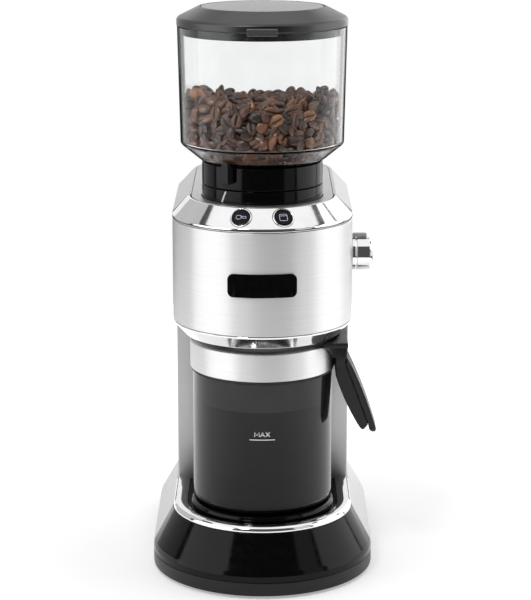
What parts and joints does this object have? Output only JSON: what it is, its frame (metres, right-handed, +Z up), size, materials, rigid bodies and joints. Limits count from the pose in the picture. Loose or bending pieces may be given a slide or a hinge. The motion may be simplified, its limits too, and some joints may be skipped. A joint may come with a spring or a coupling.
{
  "type": "burr coffee grinder",
  "caption": "Slim countertop conical-burr coffee grinder with a clear bean hopper, steel head, push buttons, side dial, and a handled smoked jar standing on a flared base.",
  "frame": {"origin": "middle of the footprint, on the surface the feet stand on", "axes": "+Z up, the front faces -Y, the dial and the jar handle are on the +X side"},
  "size_m": [0.1573, 0.26, 0.3948],
  "materials": {
    "satin_black": "fine satin moulding",
    "handle_black": "soft satin grip",
    "rubber": "matte",
    "gloss_black": "piano gloss",
    "silver_paint": "satin metallic lacquer",
    "chrome": "chrome-plated plastic",
    "brushed_steel": "fine brushing round the body",
    "clear_plastic": "clear, polished",
    "smoked_plastic": "smoked grey, polished",
    "coffee_bean": "roasted, slightly oily",
    "inner_plastic": "natural engineering plastic",
    "machined_steel": "turned",
    "brass": "turned",
    "circuit_board": "solder mask"
  },
  "bodies": {
    "body": {"base_pan": "satin_black", "foot_front_left": "rubber", "foot_front_right": "rubber", "foot_rear_left": "rubber", "foot_rear_right": "rubber", "base_skirt": "gloss_black", "base_rear_flare": "silver_paint", "base_trim": "chrome", "tray_floor": "gloss_black", "jar_platform": "gloss_black", "column_shell": "silver_paint", "column_front": "silver_paint", "head_shell": "silver_paint", "front_cover": "brushed_steel", "badge_plate": "satin_black", "lower_lip": "chrome", "button_ring_left": "chrome", "button_ring_right": "chrome", "control_band": "chrome", "control_board": "circuit_board", "top_deck": "silver_paint", "neck": "gloss_black", "grinding_chamber": "inner_plastic", "grounds_chute": "satin_black", "chassis_plate": "inner_plastic", "burr_bearing": "machined_steel", "shaft_bearing": "brass", "idler_axle": "machined_steel", "motor_can": "machined_steel", "dial_sensor": "inner_plastic", "cord_gland": "rubber", "switch_frame": "satin_black", "mains_board": "circuit_board"},
    "grind_ring": {"adjust_ring": "gloss_black", "ring_pointer": "satin_black"},
    "bean_hopper": {"hopper": "clear_plastic", "coffee_beans": "coffee_bean"},
    "hopper_lid": {"lid_frame": "satin_black", "lid_window": "clear_plastic"},
    "upper_burr_holder": {"burr_carrier": "satin_black", "upper_burr": "machined_steel"},
    "burr_spindle": {"burr_shaft": "machined_steel", "lower_burr": "machined_steel", "burr_gear": "inner_plastic"},
    "idler": {"idler_gear": "inner_plastic"},
    "rotor": {"motor_rotor": "machined_steel", "motor_pinion": "brass"},
    "left_button": {"button_left": "satin_black"},
    "right_button": {"button_right": "satin_black"},
    "dial": {"knob": "chrome", "knob_pointer": "silver_paint", "knob_shaft": "machined_steel"},
    "grounds_jar": {"jar": "smoked_plastic", "jar_gasket": "rubber", "jar_ring": "brushed_steel", "jar_lid": "satin_black", "handle_grip": "handle_black", "handle_cover": "handle_black"},
    "switch_rocker": {"rocker": "gloss_black"}
  },
  "joints": [
    {"name": "grind_setting", "type": "hinge", "parent": "body", "child": "grind_ring", "pos_m": [0, -0.0525, 0.2798], "axis": [0, 0, 1], "range_deg": [-60, 60]},
    {"name": "hopper_lift", "type": "slide", "parent": "grind_ring", "child": "bean_hopper", "axis": [0, 0, 1], "range_m": [0, 0.12]},
    {"name": "lid_lift", "type": "slide", "parent": "bean_hopper", "child": "hopper_lid", "axis": [0, 0, 1], "range_m": [0, 0.06]},
    {"name": "upper_burr_lift", "type": "slide", "parent": "body", "child": "upper_burr_holder", "axis": [0, 0, 1], "range_m": [-0.0011, 0.0011]},
    {"name": "burr_spin", "type": "hinge", "parent": "body", "child": "burr_spindle", "pos_m": [0, -0.0525, 0.2098], "axis": [0, 0, 1], "continuous": true},
    {"name": "idler_spin", "type": "hinge", "parent": "body", "child": "idler", "pos_m": [0, -0.0025, 0.1948], "axis": [0, 0, 1], "continuous": true},
    {"name": "motor_spin", "type": "hinge", "parent": "body", "child": "rotor", "pos_m": [0, 0.0455, 0.1298], "axis": [0, 0, 1], "continuous": true},
    {"name": "left_button_push", "type": "slide", "parent": "body", "child": "left_button", "axis": [0.1861, 0.7207, -0.6678], "range_m": [0, 0.0012], "stiffness_N_per_m": 600, "springref_m": -0.001},
    {"name": "right_button_push", "type": "slide", "parent": "body", "child": "right_button", "axis": [-0.1861, 0.7207, -0.6678], "range_m": [0, 0.0012], "stiffness_N_per_m": 600, "springref_m": -0.001},
    {"name": "dial_turn", "type": "hinge", "parent": "body", "child": "dial", "pos_m": [0.062, -0.0305, 0.2198], "axis": [1, 0, 0], "range_deg": [-140, 140]},
    {"name": "jar_pull", "type": "slide", "parent": "body", "child": "grounds_jar", "axis": [0, -1, 0], "range_m": [0, 0.13]},
    {"name": "switch_rock", "type": "hinge", "parent": "body", "child": "switch_rocker", "pos_m": [0, 0.1115, 0.0818], "axis": [0, 0, 1], "range_deg": [0, 20]}
  ],
  "couplings": [
    {"joint": "idler_spin", "follows": "burr_spin", "ratio": -2.5714},
    {"joint": "motor_spin", "follows": "burr_spin", "ratio": 11.143},
    {"joint": "upper_burr_lift", "follows": "grind_setting", "m_per_rad": 0.00095}
  ]
}
